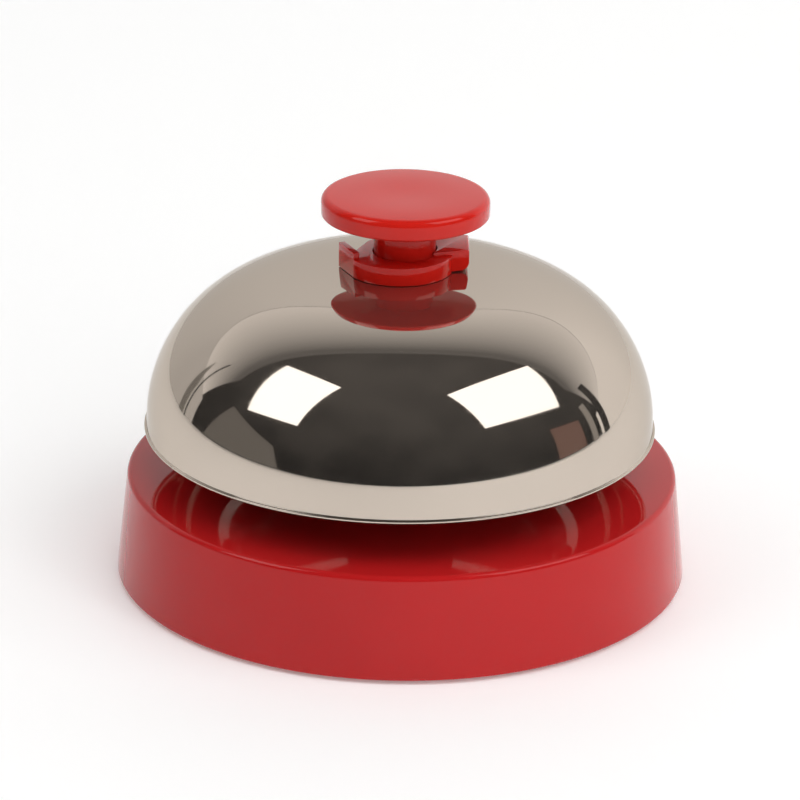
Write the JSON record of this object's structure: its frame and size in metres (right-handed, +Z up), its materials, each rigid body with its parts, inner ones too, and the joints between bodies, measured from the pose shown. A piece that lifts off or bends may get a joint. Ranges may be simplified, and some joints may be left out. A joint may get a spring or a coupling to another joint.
{
  "type": "service bell",
  "caption": "Counter service bell: a polished steel dome on a red drum base, rung by pressing the round button on top of its centre post.",
  "frame": {"origin": "centre of the circle of the rubber feet, on the surface the bell stands on", "axes": "+Z up along the bell's axis, -Y towards the front, +X to the right seen from the front"},
  "size_m": [0.065, 0.065, 0.045],
  "materials": {
    "red_plastic": "glossy moulded red",
    "red_inner_plastic": "as-moulded red, satin",
    "nickel_steel": "mirror-polished nickel plate",
    "zinc_steel": "zinc plated",
    "spring_steel": "drawn wire, oiled",
    "black_rubber": "matte black",
    "clear_vinyl": "translucent soft vinyl"
  },
  "bodies": {
    "base": {"base_shell": "red_plastic", "base_cover": "red_inner_plastic", "cover_screw_1": "zinc_steel", "cover_screw_2": "zinc_steel", "cover_screw_3": "zinc_steel", "foot_pad_1": "black_rubber", "foot_pad_2": "black_rubber", "foot_pad_3": "black_rubber", "centre_post": "red_inner_plastic", "post_screw_1": "zinc_steel", "post_screw_2": "zinc_steel", "dome_washer": "clear_vinyl", "bell_dome": "nickel_steel", "pivot_pin": "zinc_steel", "return_spring": "spring_steel"},
    "lock_collar": {"lock_collar": "red_plastic"},
    "plunger": {"rod_clip": "spring_steel"},
    "button": {"push_button": "red_plastic", "plunger_rod": "zinc_steel"},
    "striker": {"striker_lever": "zinc_steel", "striker_slug": "zinc_steel"}
  },
  "joints": [
    {"name": "button_press", "type": "slide", "parent": "base", "child": "plunger", "axis": [0, 0, -1], "range_m": [0, 0.0034], "stiffness_N_per_m": 200, "springref_m": -0.0015, "deforming": ["return_spring"]},
    {"name": "button_turn", "type": "hinge", "parent": "plunger", "child": "button", "pos_m": [0, 0, 0.04], "axis": [0, 0, 1], "continuous": true},
    {"name": "striker_swing", "type": "hinge", "parent": "base", "child": "striker", "pos_m": [0, 0.005, 0.0157], "axis": [1, 0, 0], "range_deg": [0, 37.7]},
    {"name": "collar_turn", "type": "hinge", "parent": "base", "child": "lock_collar", "pos_m": [0, 0, 0.0374], "axis": [0, 0, 1], "range_deg": [0, 90]}
  ],
  "couplings": [
    {"joint": "striker_swing", "follows": "button_press", "rad_per_m": 192.79}
  ]
}
